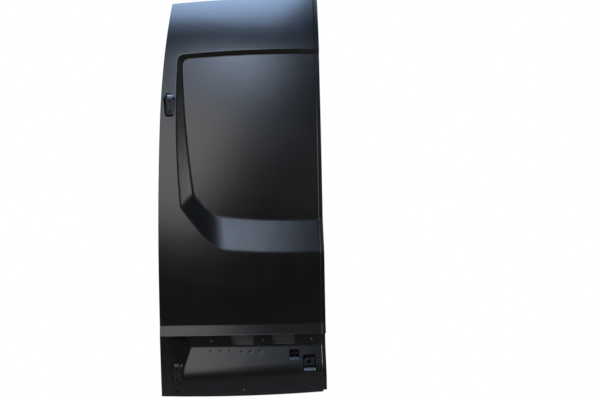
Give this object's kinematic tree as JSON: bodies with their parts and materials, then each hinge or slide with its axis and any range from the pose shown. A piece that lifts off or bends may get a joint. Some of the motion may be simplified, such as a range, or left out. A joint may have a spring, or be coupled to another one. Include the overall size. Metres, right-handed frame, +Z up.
{
  "type": "van rear barn door shell",
  "caption": "Bare pressed-steel left rear barn door of a high-roof camper van, with blanked window recess, number plate bay, hinge pads and inner frame.",
  "frame": {"origin": "middle of the lower hinge pad's flat face, on the outer side of the door", "axes": "+X from the hinge edge to the meeting edge, +Y into the vehicle, +Z up"},
  "size_m": [0.797, 0.2936, 1.954],
  "materials": {
    "black_primer": "satin black electrocoat primer",
    "reinforcement_primer": "satin black electrocoat primer on thicker plate"
  },
  "bodies": {
    "root": {"blank_stiffener_lower": "black_primer", "blank_stiffener_upper": "black_primer", "check_arm_plate": "reinforcement_primer", "handle_pocket": "black_primer", "inner_header": "black_primer", "inner_hinge_stile": "black_primer", "inner_lower_panel": "black_primer", "inner_meeting_stile": "black_primer", "inner_waist_rail": "black_primer", "latch_plate": "reinforcement_primer", "lock_pocket": "black_primer", "lower_hinge_reinforcement": "reinforcement_primer", "lower_rod_plate": "reinforcement_primer", "meeting_flange": "black_primer", "number_plate_panel": "black_primer", "outer_skin": "black_primer", "panel_stiffener": "black_primer", "upper_hinge_reinforcement": "reinforcement_primer", "upper_rod_plate": "reinforcement_primer"}
  },
  "joints": []
}
